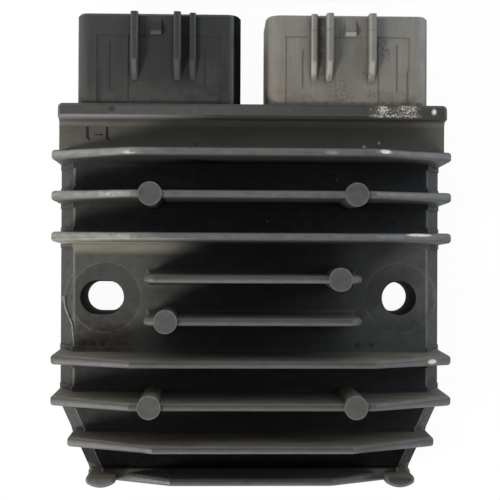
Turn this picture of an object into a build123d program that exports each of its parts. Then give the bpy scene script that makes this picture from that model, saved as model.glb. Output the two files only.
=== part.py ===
from build123d import *
import os
from math import atan2, degrees, radians, tan

# Voltage regulator of a small engine, lying on its mounting face.
# X runs along the line of the two fixing holes, Y towards the connectors, Z out of the mounting face.
# The origin is midway between the fixing holes, on the mounting face. All sizes are in millimetres.

# Fixing holes
hole_spacing = 80.0
hole_dia = 8.2
hole_mouth_dia = 9.3
hole_straight = 6.0
slot_travel = 2.4
boss_dia = 20.2
boss_core_dia = 19.0

# Base, web and sloping sides
side_shoulder = 7.35
rim_height = 3.0
web_height = 13.0
web_thickness = 3.0
side_lean = 5.0
side_wall = 3.5
corner_start = -29.5
corner_angle = 24.4

# Cooling fins
fin_pitch = 10.7
fin_top = 32.5
fin_end_height = 20.0
fin_tip = 2.0
fin_draft = 1.5
fin_slope_run = 21.5
fin_nose = 0.9
root_radius = 1.3
short_fin_length = 55.0
short_fin_drop = 1.6
short_fin_run = 2.4
short_foot_inset = 0.3
lower_fin_slope_run = 22.8
lower_fin_inset = 0.85
edge_fin_drop = 12.0

# Ejector pin bosses on the fins, and the raised lugs at the ends of the edge fin
pin_dia = 6.0
pin_proud = 0.6
long_pin_spacing = 52.0
short_pin_offset = 22.0
lug_length = 7.7
lug_inset = 0.4
lug_bow = 0.9
lug_sunk = 0.4
lug_inner = 1.3
lug_top = 17.5
lug_nose_radius = 1.2
lug_bevel = 0.8

# Connector wall and the recessed face below it
wall_outer = 50.0
wall_thickness = 3.7
wall_height = 28.0
wall_draft = 5.7
wall_inner_lean = 0.2
wall_corner = 1.2
wall_bevel = 0.6
recess_height = 21.0
recess_radius = 1.5
pocket_side = 6.0
pocket_depth_y = 6.8

# Connector shells
shell_gap = 6.5
shell_side = 2.95
shell_low = 4.0
shell_high = 26.5
shell_length = 23.2
shell_wall = 1.8
shell_floor = 2.5
outer_corner = 3.0
inner_corner = 4.0
mouth_bevel = 0.6
neck_side = 2.1
neck_height = 11.0
neck_reach = 1.5
neck_clearance = 0.15
panel_side = 5.0
panel_length = 17.6
panel_depth = 0.15

# Guide ribs and latch nib on each shell, placed from the shell's middle, positive away from the other shell
rib_places = (-4.7, 6.2)
rib_width = 1.85
rib_height = 2.8
low_rib_place = -8.6
low_rib_width = 1.6
low_rib_height = 1.4
rib_full_length = 12.2
rib_length = 17.1
rib_bevel = 0.4
nib_place = 0.75
nib_width = 2.7
nib_start = 1.0
nib_length = 4.5
nib_height = 1.2
nib_back = 0.7
nib_back_height = 0.9

# Terminal blades
blade_gap = 4.2
blade_width = 7.8
blade_thickness = 0.8
blade_level = 12.0
blade_tip = 66.0
blade_tail = 42.2
blade_bevel = 1.2
blade_tip_bevel = 0.24

# Power board and the semiconductors on it
board_clearance = 3.5
board_low = -9.0
board_high = 32.0
board_thickness = 1.6
column_pitch = 18.0
device_height = 3.0
device_chamfer = 0.4
thyristor_width = 12.0
thyristor_length = 10.0
thyristor_y = 16.0
diode_width = 10.0
diode_length = 9.0
diode_y = 0.5
tab_width = 5.0
tab_length = 3.0
tab_thickness = 1.0

# Bus bars
bar_width = 4.5
bar_thickness = 1.0
ac_bar_turn = (28.5, 33.0, 37.5)
ac_foot = 3.0
supply_clearance = 1.25

# Control board and the parts on it
control_width = 60.0
control_low = -43.0
control_high = -12.0
control_thickness = 1.2
control_stand = 2.0
post_side = 3.6
post_inset = 3.0
control_corner = 1.5
chip_size = (5.0, 4.0, 1.6)
chip_place = (-6.0, -26.0)
chip_gap = 0.1
chip_chamfer = 0.3
chip_lead_count = 4
chip_lead_pitch = 1.27
chip_lead_width = 0.4
chip_lead_reach = 1.0
chip_lead_rise = 0.4
capacitor_size = (7.3, 4.3, 2.8)
capacitor_chamfer = 0.4
capacitor_tab_width = 2.4
capacitor_tab_thickness = 0.3
capacitor_tab_rise = 1.5
capacitor_place = (16.0, -30.0)
resistor_size = (3.2, 1.6, 0.6)
resistor_count = 6
resistor_pitch = 4.4
resistor_row = (-6.0, -35.0)
lead_width = 1.0
lead_thickness = 0.4
lead_lap = 3.0
gate_side = 6.0
gate_reach = 3.8
gate_bend = 1.0
sense_x = 9.0
sense_width = 2.0
sense_thickness = 0.6

# Potting compound, its surface below the mounting face
potting_recess = 0.6

# How far a feature reaches into the one that carries it, and a cut past the face that it opens
overlap = 0.5
root_overlap = 0.05
cut_over = 1.0

# Levels and places that follow from the sizes above. The blades give the necks their width, the necks
# the shells, and the two shells side by side the casting.
blade_pitch = blade_width + blade_gap
neck_width = 2 * blade_pitch + blade_width + 2 * neck_side
shell_width = neck_width + 2 * shell_side
shell_offset = (shell_width + shell_gap) / 2
half_width = shell_offset + shell_width / 2 + side_shoulder
hole_x = hole_spacing / 2
core_side = hole_x - boss_core_dia / 2
supply_bar_x = core_side - supply_clearance - bar_width / 2
lean_angle = degrees(atan2(side_lean, web_height - rim_height))
tray_ceiling = web_height - web_thickness
pocket_ceiling = recess_height - web_thickness
wall_inner = wall_outer - wall_thickness
full_fin_rows = (3.5, 2.5, 1.5, -1.5, -2.5)
short_fin_rows = (0.5, -0.5)
lower_fin_row = -3.5
edge_fin_row = -4.5
edge_fin_y = edge_fin_row * fin_pitch
edge_peak = fin_top - edge_fin_drop
top_fin_y = full_fin_rows[0] * fin_pitch
board_face = tray_ceiling - board_thickness
device_face = board_face - device_height
bar_face = device_face - bar_thickness
control_face = tray_ceiling - control_stand
control_back = control_face - control_thickness
columns = (-column_pitch, 0.0, column_pitch)
mouth = wall_outer + shell_length
FLOOR = (Align.CENTER, Align.CENTER, Align.MIN)
CEILING = (Align.CENTER, Align.CENTER, Align.MAX)


def slab(x_low, x_high, y_low, y_high, z_low, z_high):
    """A square-edged block between two corners."""
    size = (x_high - x_low, y_high - y_low, z_high - z_low)
    return Pos(x_low, y_low, z_low) * Box(*size, align=(Align.MIN,) * 3)


def outline_half(y, inset=0.0):
    """Half the width of the base at a place along Y, which narrows past the lower corners."""
    return half_width - inset - max(0.0, corner_start - y) * tan(radians(corner_angle))


def base_outline(inset=0.0):
    """The base seen from the front, run past both ends, where a trim gives it its length."""
    far = 2 * wall_outer
    low = outline_half(-far, inset)
    side = half_width - inset
    left = [(-side, far), (-side, corner_start), (-low, -far)]
    right = [(low, -far), (side, corner_start), (side, far)]
    return make_face(Polyline(*left, *right, close=True))


def tray_form(inset, y_low, y_high, z_high):
    """An upright rim with sloping sides above it, between two square ends."""
    upright = extrude(base_outline(inset), rim_height)
    sloping = extrude(Pos(0, 0, rim_height) * base_outline(inset), z_high - rim_height, taper=lean_angle)
    return (upright + sloping) & slab(-half_width, half_width, y_low, y_high, 0, z_high)


def fin_half(peak, level):
    """Half the thickness of a drafted fin at a level below its peak."""
    return fin_tip / 2 + (peak - level) * tan(radians(fin_draft))


def fin(row, half, peak, drop, slope_run):
    """A drafted fin with sloping shoulders and a fully rounded nose."""
    y = row * fin_pitch
    foot = fin_half(peak, 0)
    tip = fin_half(peak, peak)
    section = Polyline((y - foot, 0), (y - tip, peak), (y + tip, peak), (y + foot, 0), close=True)
    bar = extrude(make_face(Plane.YZ * section), half, both=True)
    right = [(half, 0), (half, peak - drop), (half - slope_run, peak)]
    left = [(-x, z) for x, z in reversed(right)]
    side = make_face(Plane.XZ * Polyline(*right, *left, close=True))
    blank = bar & extrude(Pos(0, y, 0) * side, foot + cut_over, both=True)
    flanks = [f for f in blank.faces() if abs(f.normal_at().Y) > 0.9]
    return fillet([e for f in flanks for e in f.edges() if e.center().Z > 0.01], fin_nose)


def root_fillet(row, half_web, half_rim, peak):
    """The concave roots of one fin, swept over the web and down both sloping sides."""
    y = row * fin_pitch
    root = fin_half(peak, web_height)
    path = Polyline((-half_rim, y, rim_height), (-half_web, y, web_height),
                    (half_web, y, web_height), (half_rim, y, rim_height))
    start = Plane(origin=path @ 0, x_dir=(0, -1, 0), z_dir=path % 0)
    top = root_radius - root_overlap
    left = RadiusArc((-root - root_radius, -root_overlap), (-root, top), root_radius)
    right = RadiusArc((root, top), (root + root_radius, -root_overlap), root_radius)
    below = Polyline(right @ 1, (root + root_radius, -overlap), (-root - root_radius, -overlap), left @ 0)
    section = make_face(start * Curve([left, Line(left @ 1, right @ 0), right, below]))
    return sweep(section, path, transition=Transition.RIGHT)


def recess_root():
    """The concave root between the recessed face and the first fin."""
    half = half_width - side_lean
    face = top_fin_y + fin_half(fin_top, recess_height)
    edge = face + root_radius
    corner = slab(-half, half, top_fin_y, edge, recess_height - overlap, recess_height + root_radius)
    hollow = Pos(0, edge, recess_height + root_radius) * Rot(0, 90, 0) * Cylinder(root_radius, 2 * half_width)
    return corner - hollow


def short_fin(row):
    """One of the two fins between the bosses, on a low foot with a concave root all round."""
    y = row * fin_pitch
    half = short_fin_length / 2
    thick = fin_half(fin_top, 0)
    low = web_height - overlap
    body = fin(row, half, fin_top, short_fin_drop, short_fin_run)
    body = body & slab(-half, half, y - thick, y + thick, low, fin_top)
    length = half - short_foot_inset
    width = fin_half(fin_top, web_height + root_radius)
    skirt = 2 * root_radius
    high = web_height + root_radius + root_overlap
    foot = slab(-length - skirt, length + skirt, y - width - skirt, y + width + skirt, low, web_height)
    foot += slab(-length, length, y - width, y + width, low, high)
    seam = [e for e in foot.edges() if abs(e.center().Z - web_height) < 0.01
            and abs(e.center().X) < length + 0.01 and abs(e.center().Y - y) < width + 0.01]
    return fillet(seam, root_radius) + body


def top_block():
    """The connector wall and the recessed face between it and the first fin."""
    wall_top = [(wall_outer, wall_height), (wall_inner + wall_inner_lean, wall_height)]
    recess = [(wall_inner, recess_height), (top_fin_y, recess_height)]
    profile = make_face(Plane.YZ * Polyline((top_fin_y, 0), (wall_outer, 0), *wall_top, *recess, close=True))
    block = extrude(profile, half_width, both=True)
    inside_corner = [e for e in block.edges().filter_by(Axis.X)
                     if abs(e.center().Z - recess_height) < 0.01 and abs(e.center().Y - wall_inner) < 0.01]
    block = fillet(inside_corner, recess_radius)
    top_half = half_width - wall_height * tan(radians(wall_draft))
    right = [(top_half, wall_height), (half_width, 0)]
    front = make_face(Plane.XZ * Polyline((-half_width, 0), (-top_half, wall_height), *right, close=True))
    block = block & extrude(front, wall_outer + cut_over, both=True)
    corners = [e for e in block.edges() if e.center().Y > wall_outer - 0.01 and abs(e.center().X) > top_half
               and e.length > wall_height / 2]
    block = fillet(corners, wall_corner)
    brow = [e for e in block.edges() if e.center().Z > wall_height - 0.01]
    return chamfer(brow, wall_bevel)


def pin(x, row):
    """An ejector pin boss standing through a fin."""
    return Pos(x, row * fin_pitch, 0) * Cylinder(pin_dia / 2, fin_top + pin_proud, align=FLOOR)


def edge_lugs():
    """The raised ends of the edge fin, which bow outwards in front of the lower corners."""
    tip = outline_half(edge_fin_y) - lug_inset
    start = tip - lug_length
    inner = edge_fin_y + lug_inner
    face = edge_fin_y - fin_half(edge_peak, web_height)
    outer = face + lug_sunk
    bow = ThreePointArc((tip, outer), (tip - lug_length / 2, face - lug_bow), (start, outer))
    plan = make_face(Curve([bow, Polyline((start, outer), (start, inner), (tip, inner), (tip, outer))]))
    plan = fillet([v for v in plan.vertices() if v.X > tip - 0.01], lug_nose_radius)
    lug = extrude(plan, lug_top)
    lug = chamfer(lug.faces().sort_by(Axis.Z)[-1].edges(), lug_bevel)
    return [lug, mirror(lug, about=Plane.YZ)]


def fixing_bore(x, travel):
    """A straight bore that opens towards the front, drawn out into a slot if it has travel."""
    steps = ((0, hole_straight, hole_dia, hole_dia), (hole_straight, web_height, hole_dia, hole_mouth_dia))
    cut = Part()
    for low, high, low_dia, high_dia in steps:
        lower = Plane(origin=(x, 0, low)) * opening_shape(low_dia, travel)
        if low_dia == high_dia:
            cut += extrude(lower, high - low)
        else:
            upper = Plane(origin=(x, 0, high)) * opening_shape(high_dia, travel)
            cut += loft([lower, upper])
    return cut


def opening_shape(dia, travel):
    """A circle, or a slot whose two end arcs are the travel apart."""
    return SlotCenterToCenter(travel, dia) if travel else Circle(dia / 2)


def tray_space():
    """The open space at the back of the casting, around the two fixing bosses."""
    low = edge_fin_y - fin_half(edge_peak, 0) + side_wall
    space = tray_form(side_wall, low, wall_inner, tray_ceiling)
    half = half_width - pocket_side
    space += slab(-half, half, wall_inner - pocket_depth_y, wall_inner, 0, pocket_ceiling)
    for side in (-1, 1):
        space -= Pos(side * hole_x, 0, 0) * Cylinder(boss_core_dia / 2, tray_ceiling, align=FLOOR)
        for y in (control_low + post_inset, control_high - post_inset):
            post_x = side * (control_width / 2 - post_inset)
            space -= Pos(post_x, y, control_face) * Box(post_side, post_side, control_stand, align=FLOOR)
    return space


def wall_window(side):
    """The opening in the connector wall that the neck of one shell passes through."""
    half = neck_width / 2 + neck_clearance
    rise = neck_height / 2 + neck_clearance
    middle = side * shell_offset
    return slab(middle - half, middle + half, wall_inner - cut_over, wall_outer + cut_over,
                blade_level - rise, blade_level + rise)


def heat_sink_casting():
    body = tray_form(0.0, edge_fin_y, wall_outer - wall_corner, web_height)
    body += [Pos(side * hole_x, 0, 0) * Cylinder(boss_dia / 2, web_height, align=FLOOR) for side in (-1, 1)]
    body += top_block()

    drop = fin_top - fin_end_height
    lower_half = outline_half(lower_fin_row * fin_pitch, lower_fin_inset)
    edge_half = outline_half(edge_fin_y)
    long_fins = [(row, half_width, fin_top, fin_slope_run) for row in full_fin_rows]
    long_fins += [(lower_fin_row, lower_half, fin_top, lower_fin_slope_run),
                  (edge_fin_row, edge_half, edge_peak, lower_fin_slope_run)]
    body += [fin(row, half, peak, drop, run) for row, half, peak, run in long_fins]

    within = slab(-half_width, half_width, edge_fin_y, wall_outer, 0, fin_top)
    envelope = extrude(base_outline(), fin_top) & within
    for row, half, peak, run in long_fins:
        half_rim = outline_half(row * fin_pitch)
        body += root_fillet(row, half_rim - side_lean, half_rim, peak) & envelope
    body += recess_root()
    body += [short_fin(row) for row in short_fin_rows]

    for row in (full_fin_rows[1], full_fin_rows[-1]):
        body += [pin(side * long_pin_spacing / 2, row) for side in (-1, 1)]
    body += [pin(side * short_pin_offset, row) for side, row in zip((1, -1), short_fin_rows)]
    body += edge_lugs()

    body -= tray_space()
    body -= [wall_window(side) for side in (-1, 1)]
    body -= fixing_bore(hole_x, 0.0)
    body -= fixing_bore(-hole_x, slot_travel)
    return body


def shell_section(side, shrink, y):
    """The shell's rounded cross-section on the plane at one place along Y."""
    half = shell_width / 2 - shrink
    rise = (shell_high - shell_low) / 2 - shrink
    middle = (shell_high + shell_low) / 2
    plane = Plane(origin=(side * shell_offset, y, middle), x_dir=(1, 0, 0), z_dir=(0, 1, 0))
    outline = Rectangle(2 * half, 2 * rise)
    outline = fillet([v for v in outline.vertices() if v.X * side < 0], inner_corner - shrink)
    outer = [v for v in outline.vertices() if v.X * side > half - 0.01 and abs(v.Y) > rise - 0.01]
    return plane * fillet(outer, outer_corner - shrink)


def shell_rib(side, place, width, height):
    """A guide rib that ends in a ramp, bevelled along its top."""
    x = side * (shell_offset + place)
    crest = shell_high + height
    foot = shell_high - overlap
    points = [(mouth, foot), (mouth, crest), (mouth - rib_full_length, crest),
              (mouth - rib_length, shell_high), (mouth - rib_length, foot)]
    profile = make_face(Plane.YZ * Polyline(*points, close=True))
    body = Pos(x, 0, 0) * extrude(profile, width / 2, both=True)
    flanks = [f for f in body.faces() if abs(f.normal_at().X) > 0.9]
    ridge = [e for f in flanks for e in f.edges()
             if e.center().Z > shell_high + rib_bevel and e.center().Y < mouth - 0.01]
    return chamfer(ridge, rib_bevel)


def latch_nib(side):
    """The wedge that the plug's latch snaps behind."""
    x = side * (shell_offset + nib_place)
    start = mouth - nib_start
    end = start - nib_length
    foot = shell_high - overlap
    points = [(start, foot), (start, shell_high), (end + nib_back, shell_high + nib_height),
              (end, shell_high + nib_back_height), (end, foot)]
    profile = make_face(Plane.YZ * Polyline(*points, close=True))
    return Pos(x, 0, 0) * extrude(profile, nib_width / 2, both=True)


def blade_xs(side):
    """The places of one connector's three blades, from the inner one outwards."""
    return [side * (shell_offset + step * blade_pitch) for step in (-1, 0, 1)]


def blade(x):
    """A flat terminal blade with a bevelled tip."""
    half = blade_width / 2
    low = blade_level - blade_thickness / 2
    body = slab(x - half, x + half, blade_tail, blade_tip, low, low + blade_thickness)
    corners = [e for e in body.edges().filter_by(Axis.Z) if e.center().Y > blade_tip - 0.01]
    body = chamfer(corners, blade_bevel)
    tip = [e for e in body.edges().filter_by(Axis.X) if e.center().Y > blade_tip - 0.01]
    return chamfer(tip, blade_tip_bevel)


def connector_shell(side):
    """One moulded shell, its neck through the wall, its ribs and its latch nib."""
    body = extrude(shell_section(side, 0.0, wall_outer), shell_length)
    rim = [e for e in body.edges() if e.center().Y > mouth - 0.01]
    body = chamfer(rim, mouth_bevel)
    half = shell_width / 2 - panel_side
    middle = side * shell_offset
    body -= slab(middle - half, middle + half, wall_outer, wall_outer + panel_length,
                 shell_high - panel_depth, shell_high + cut_over)
    body += [shell_rib(side, place, rib_width, rib_height) for place in rib_places]
    body += shell_rib(side, low_rib_place, low_rib_width, low_rib_height)
    body += latch_nib(side)
    floor = wall_outer + shell_floor
    body -= extrude(shell_section(side, shell_wall, floor), shell_length)
    neck_half = neck_width / 2
    rise = neck_height / 2
    body += slab(middle - neck_half, middle + neck_half, wall_inner - neck_reach, wall_outer + overlap,
                 blade_level - rise, blade_level + rise)
    body -= [blade(x) for x in blade_xs(side)]
    return body


def power_board():
    half = core_side - board_clearance
    return slab(-half, half, board_low, board_high, board_face, tray_ceiling)


def device(x, y, width, length):
    """A moulded semiconductor with its metal tab on the power board, on its connector side."""
    half_x = width / 2
    half_y = length / 2
    body = slab(x - half_x, x + half_x, y - half_y, y + half_y, device_face, board_face)
    edges = body.faces().sort_by(Axis.Z)[0].edges()
    body = chamfer(edges, device_chamfer)
    start = y + half_y
    return body + slab(x - tab_width / 2, x + tab_width / 2, start, start + tab_length,
                       board_face - tab_thickness, board_face)


def thyristor(x):
    return device(x, thyristor_y, thyristor_width, thyristor_length)


def diode(x):
    return device(x, diode_y, diode_width, diode_length)


def riser(x, low):
    """The upright end of a bus bar that meets a blade's tail."""
    half = bar_width / 2
    high = blade_level + blade_thickness / 2
    return slab(x - half, x + half, blade_tail - bar_thickness, blade_tail, low, high)


def ac_bus_bar(blade_x, column, turn):
    """From a blade, across to one column, over its thyristor and down to its diode's tab."""
    half = bar_width / 2
    low, high = bar_face, device_face
    left, right = sorted((blade_x, column))
    foot_end = diode_y + diode_length / 2 + tab_length
    step = foot_end + ac_foot
    bar = riser(blade_x, low)
    bar += slab(blade_x - half, blade_x + half, turn - half, blade_tail, low, high)
    bar += slab(left - half, right + half, turn - half, turn + half, low, high)
    bar += slab(column - half, column + half, step - bar_thickness, turn + half, low, high)
    bar += slab(column - half, column + half, step - bar_thickness, step, low, board_face)
    bar += slab(column - half, column + half, foot_end, step, board_face - bar_thickness, board_face)
    return bar


def positive_bus_bar(blade_x):
    """Lies on the power board against the three thyristor tabs, and rises to its blade."""
    half = bar_width / 2
    low = board_face - bar_thickness
    edge = thyristor_y + thyristor_length / 2 + tab_length
    bar = slab(columns[0] - half, blade_x + half, edge, edge + bar_width, low, board_face)
    bar += slab(blade_x - half, blade_x + half, edge, blade_tail, low, board_face)
    return bar + riser(blade_x, low)


def negative_bus_bar(blade_x):
    """Lies over the three diodes, and runs up beside them to its blade."""
    half = bar_width / 2
    low, high = bar_face, device_face
    bar = slab(columns[0] - half, supply_bar_x + half, diode_y - half, diode_y + half, low, high)
    bar += slab(supply_bar_x - half, supply_bar_x + half, diode_y - half, blade_tail, low, high)
    bar += slab(blade_x - half, supply_bar_x + half, blade_tail - bar_width, blade_tail, low, high)
    return bar + riser(blade_x, low)


def control_board():
    half = control_width / 2
    board = slab(-half, half, control_low, control_high, control_back, control_face)
    return chamfer(board.edges().filter_by(Axis.Z).group_by(Axis.Y)[0], control_corner)


def control_chip():
    """A moulded chip with a row of leads along two sides."""
    width, length, height = chip_size
    x, y = chip_place
    body = Pos(x, y, control_back - chip_gap) * Box(width, length, height - chip_gap, align=CEILING)
    body = chamfer(body.faces().sort_by(Axis.Z)[0].edges(), chip_chamfer)
    half = chip_lead_width / 2
    reach = length / 2 + chip_lead_reach
    for index in range(chip_lead_count):
        lead_x = x + (index - (chip_lead_count - 1) / 2) * chip_lead_pitch
        body += slab(lead_x - half, lead_x + half, y - reach, y + reach,
                     control_back - chip_lead_rise, control_back)
    return body


def smoothing_capacitor():
    """A moulded block capacitor with an upright tab at each end."""
    length, width, height = capacitor_size
    x, y = capacitor_place
    block = Pos(x, y, control_back) * Box(length, width, height, align=CEILING)
    block = chamfer(block.faces().sort_by(Axis.Z)[0].edges(), capacitor_chamfer)
    half = length / 2 + capacitor_tab_thickness
    side = capacitor_tab_width / 2
    tabs = slab(x - half, x + half, y - side, y + side, control_back - capacitor_tab_rise, control_back)
    return block + tabs


def resistors():
    """A row of chip resistors, all alike."""
    width, length, height = resistor_size
    row_x, row_y = resistor_row
    chips = []
    for index in range(resistor_count):
        x = row_x + (index - (resistor_count - 1) / 2) * resistor_pitch
        chips.append(Pos(x, row_y, control_back) * Box(width, length, height, align=CEILING))
    return Compound(children=chips)


def gate_leads():
    """Three thin strips from the control board to the thyristors, along the power board."""
    half = lead_width / 2
    low, high = board_face - lead_thickness, board_face
    end = thyristor_y - thyristor_length / 2
    bend = end - gate_bend
    leads = []
    for column in columns:
        run = column + gate_side
        tip = column + gate_reach
        lead = slab(run - half, run + half, control_high - lead_lap, bend, low, high)
        lead += slab(tip - half, run + half, bend - lead_width, bend, low, high)
        lead += slab(tip - half, tip + half, bend - lead_width, end, low, high)
        leads.append(lead)
    return Compound(children=leads)


def sense_lead(blade_x):
    """A strip from the sensing blade to the back of the control board."""
    half = sense_width / 2
    low, high = control_back - sense_thickness, control_back
    lead = slab(sense_x - half, sense_x + half, control_high - lead_lap, blade_tail, low, high)
    lead += slab(sense_x - half, blade_x + half, blade_tail - sense_thickness, blade_tail, low,
                 blade_level + blade_thickness / 2)
    return lead


def potting_compound(embedded):
    """Fills the tray around everything that lies in it."""
    filling = tray_space() - slab(-half_width, half_width, -wall_outer, wall_outer, 0, potting_recess)
    for piece in embedded:
        filling -= piece
    return filling


parts = {"heat_sink_casting": heat_sink_casting()}
black_xs = blade_xs(-1)
grey_xs = blade_xs(1)
parts["black_connector_shell"] = connector_shell(-1)
parts["grey_connector_shell"] = connector_shell(1)
for number, x in enumerate(sorted(black_xs), 1):
    parts[f"ac_blade_{number}"] = blade(x)
for name, x in zip(("sensing_blade", "negative_blade", "positive_blade"), grey_xs):
    parts[name] = blade(x)
parts["power_board"] = power_board()
for number, x in enumerate(columns, 1):
    parts[f"thyristor_{number}"] = thyristor(x)
    parts[f"diode_{number}"] = diode(x)
for number, (x, column, turn) in enumerate(zip(sorted(black_xs), columns, ac_bar_turn), 1):
    parts[f"ac_bus_bar_{number}"] = ac_bus_bar(x, column, turn)
parts["negative_bus_bar"] = negative_bus_bar(grey_xs[1])
parts["positive_bus_bar"] = positive_bus_bar(grey_xs[2])
parts["control_board"] = control_board()
parts["control_chip"] = control_chip()
parts["smoothing_capacitor"] = smoothing_capacitor()
parts["resistors"] = resistors()
parts["gate_leads"] = gate_leads()
parts["sense_lead"] = sense_lead(grey_xs[0])
inner = [shape for name, shape in parts.items() if name != "heat_sink_casting"]
parts["potting_compound"] = potting_compound(inner)

os.makedirs("parts", exist_ok=True)
for name, shape in parts.items():
    export_step(shape, f"parts/{name}.step")
    print(name, len(shape.solids()), round(shape.volume, 1))
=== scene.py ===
import math

import bmesh
import bpy
from bpy.props import FloatProperty, FloatVectorProperty, PointerProperty
from mathutils import Matrix, Vector


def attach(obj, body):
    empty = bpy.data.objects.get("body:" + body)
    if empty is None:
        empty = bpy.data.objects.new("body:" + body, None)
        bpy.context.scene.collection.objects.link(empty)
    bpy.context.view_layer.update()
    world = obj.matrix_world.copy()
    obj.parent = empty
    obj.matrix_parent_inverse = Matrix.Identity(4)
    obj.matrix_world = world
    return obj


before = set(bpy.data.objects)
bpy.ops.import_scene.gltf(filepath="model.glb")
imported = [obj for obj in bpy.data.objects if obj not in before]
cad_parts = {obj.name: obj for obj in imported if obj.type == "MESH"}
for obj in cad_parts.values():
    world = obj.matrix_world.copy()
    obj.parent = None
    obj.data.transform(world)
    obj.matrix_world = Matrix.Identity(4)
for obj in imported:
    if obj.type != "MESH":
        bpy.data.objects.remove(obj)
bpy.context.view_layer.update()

bl_info = {
    "name": "Voltage Regulator",
    "version": (1, 0, 0),
    "blender": (4, 5, 0),
    "location": "View3D > Sidebar > Regulator",
    "description": "Finishes a finned, potted voltage regulator and sets it on a white stage",
    "category": "Object",
}

# Places on the part are in millimetres, as in its source: X along the fixing holes, Y towards the connectors.
MM = 0.001
HOLE_X = 40.0
BOSS_RADIUS = 10.0
HALF_WIDTH = 52.5
WEB = 13.0
WEB_EDGE = 5.0
RECESS = 21.0
WALL_TOP = 28.0
FIN_PITCH = 10.7
FIN_TOP = 32.5
FIN_END = 20.0
FIN_SLOPE = 12.5 / 21.5
EDGE_FIN_DROP = 12.0
CORNER_START = -29.5
CORNER_SLOPE = 0.4536
PIN_RADIUS = 3.0
PIN_TOP = 33.1
PINS = ((-26.0, 26.75), (26.0, 26.75), (22.0, 5.35), (-22.0, -5.35), (-26.0, -26.75), (26.0, -26.75))
SHELL_X = 24.2
SHELL_TOP = 26.5
NIB_PLACE = 0.75
PARTING_Y = 68.95

# Squeezes a distance so that it is measured from an upright axis
FLAT = (1, 1, 0)

# Near-black: painted shade in the web, the gutter, the flanks facing away, the bores, the lugs and under the
# brow, and the real dark of pits and washer seats
SOOT_AND_SHADE = (0.004, 0.0045, 0.005)
BROWN_DIRT = (0.020, 0.015, 0.010)
# Pale dust, bright enough to be partly a painted pool of the lamp's light
BEIGE_DUST_AND_LIGHT = (0.30, 0.29, 0.235)
RECESS_PAINT = (0.070, 0.066, 0.053)
# A painted highlight on the bevel under the wall
BROW_HIGHLIGHT = (0.13, 0.13, 0.128)
# Pale streaks on the noses: mostly painted glints of the lamp, partly rubbed paint
GLINT_AND_RUB_TONE = (0.34, 0.34, 0.32)
LATHED_METAL = ((0.50, 0.50, 0.50), (0.68, 0.68, 0.67))

# The hole, how far its washer sat off the middle, and how dark the washer left its seat
WASHERS = ((-HOLE_X, 1.0, 0.4), (HOLE_X, 0.0, 0.15))

# Chips down to the metal: the place, the radius and how the spot is squeezed
CHIPS = (
    ((46.3, 48.3, WALL_TOP), 0.5, (1, 0.8, 1)),
    ((29.3, 40.0, RECESS), 0.3, (1, 1, 1)),
    ((33.2, 41.0, RECESS), 0.22, (1, 1, 1)),
    ((33.9, 37.8, 31.5), 1.4, (0.7, 2.4, 1)),
    ((47.3, -16.1, 24.0), 1.0, (0.7, 1.6, 0.5)),
    ((43.3, 16.8, 26.0), 3.0, (0.75, 8.0, 0.6)),
)

# Pale streaks on the noses, mostly painted glints of the lamp and partly rubbed paint: the long one, and for
# the others the place, the radius and the strength
LONG_GLINT = (-36.2, 27.2, 29.4)
GLINTS_AND_RUBS = (
    ((-31.2, 37.2, 32.0), 1.8, 1.0),
    ((19.5, 37.3, FIN_TOP), 1.7, 0.4),
    ((-34.0, 16.4, 30.8), 1.6, 0.4),
)

# Dark pits in the paint: the place and the radius
PITS = (
    ((-14.7, 40.8, RECESS), 0.2),
    ((-8.0, 40.2, RECESS), 0.22),
    ((-7.2, 40.4, RECESS), 0.16),
    ((-3.0, 41.0, RECESS), 0.18),
    ((28.6, -12.9, WEB), 0.75),
    ((32.4, -12.8, WEB), 0.7),
    ((-44.5, -12.2, WEB), 0.8),
    ((-42.1, -12.4, WEB), 0.6),
    ((-39.6, -12.7, WEB), 0.5),
    ((28.0, -4.4, WEB), 0.4),
    ((-47.7, 8.7, WEB), 0.3),
    ((-35.9, 48.6, WALL_TOP), 0.8),
)
DEEP_PIT = (-15.06, 40.3, RECESS)

# Across a shell from its middle outwards: a rib, or the gap between two ribs, and how far its shade reaches
RIB_SHADES = ((-8.6, 2.0), (-4.7, 2.2), (6.2, 1.9), (-6.65, 1.6))

# Blotches of dirt on the shells: X, Y and the radius
BLACK_BLOTCHES = ((-12.0, 58.0, 3.0), (-30.0, 53.0, 3.0))
GREY_BLOTCHES = ((30.6, 53.0, 1.4), (22.0, 52.5, 4.0), (33.0, 64.0, 2.4), (28.8, 57.5, 1.6),
                 (34.5, 51.2, 3.0), (12.0, 50.6, 2.0), (33.6, 66.9, 1.6))

# Tool lines on a shell, each from one place to another: outwards from its middle, and Y
SHELL_LINES = (((-11.6, 54.4), (-11.6, 64.2)), ((7.95, 51.0), (7.95, 67.6)), ((12.7, 53.6), (12.7, 65.7)),
               ((-15.95, 50.2), (-15.95, 67.6)), ((15.95, 58.8), (15.95, 67.6)), ((15.4, 50.2), (15.4, 58.8)),
               ((-15.95, 67.6), (-9.8, 67.6)), ((8.0, 67.6), (15.95, 67.6)))

# The ridge of flash, from its blob to the web
FLASH_WAY = ((-50.1, -0.6), (-49.7, -3.0), (-48.8, -5.2), (-47.9, -7.2), (-47.5, -11.5))

CAMERA_PLACE = (-7.73, 11.41, 291.75)
CAMERA_TILT = (0.285, -1.519, 0.258)
SKY_STOPS = ((0.0, 0.75), (0.35, 1.0), (0.6, 0.75), (0.8, 0.3), (0.92, 0.08), (1.0, 0.05))
SKY_GAIN = 1.7
WARM_SIDE = (1.25, 1.22, 1.15, 1)
COOL_SIDE = (0.72, 0.78, 0.88, 1)
WHITE = (1, 1, 1, 1)
FLOOR_PAINT = (0.85, 0.85, 0.85, 1)
FLOOR_GLOW = 0.96


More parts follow.
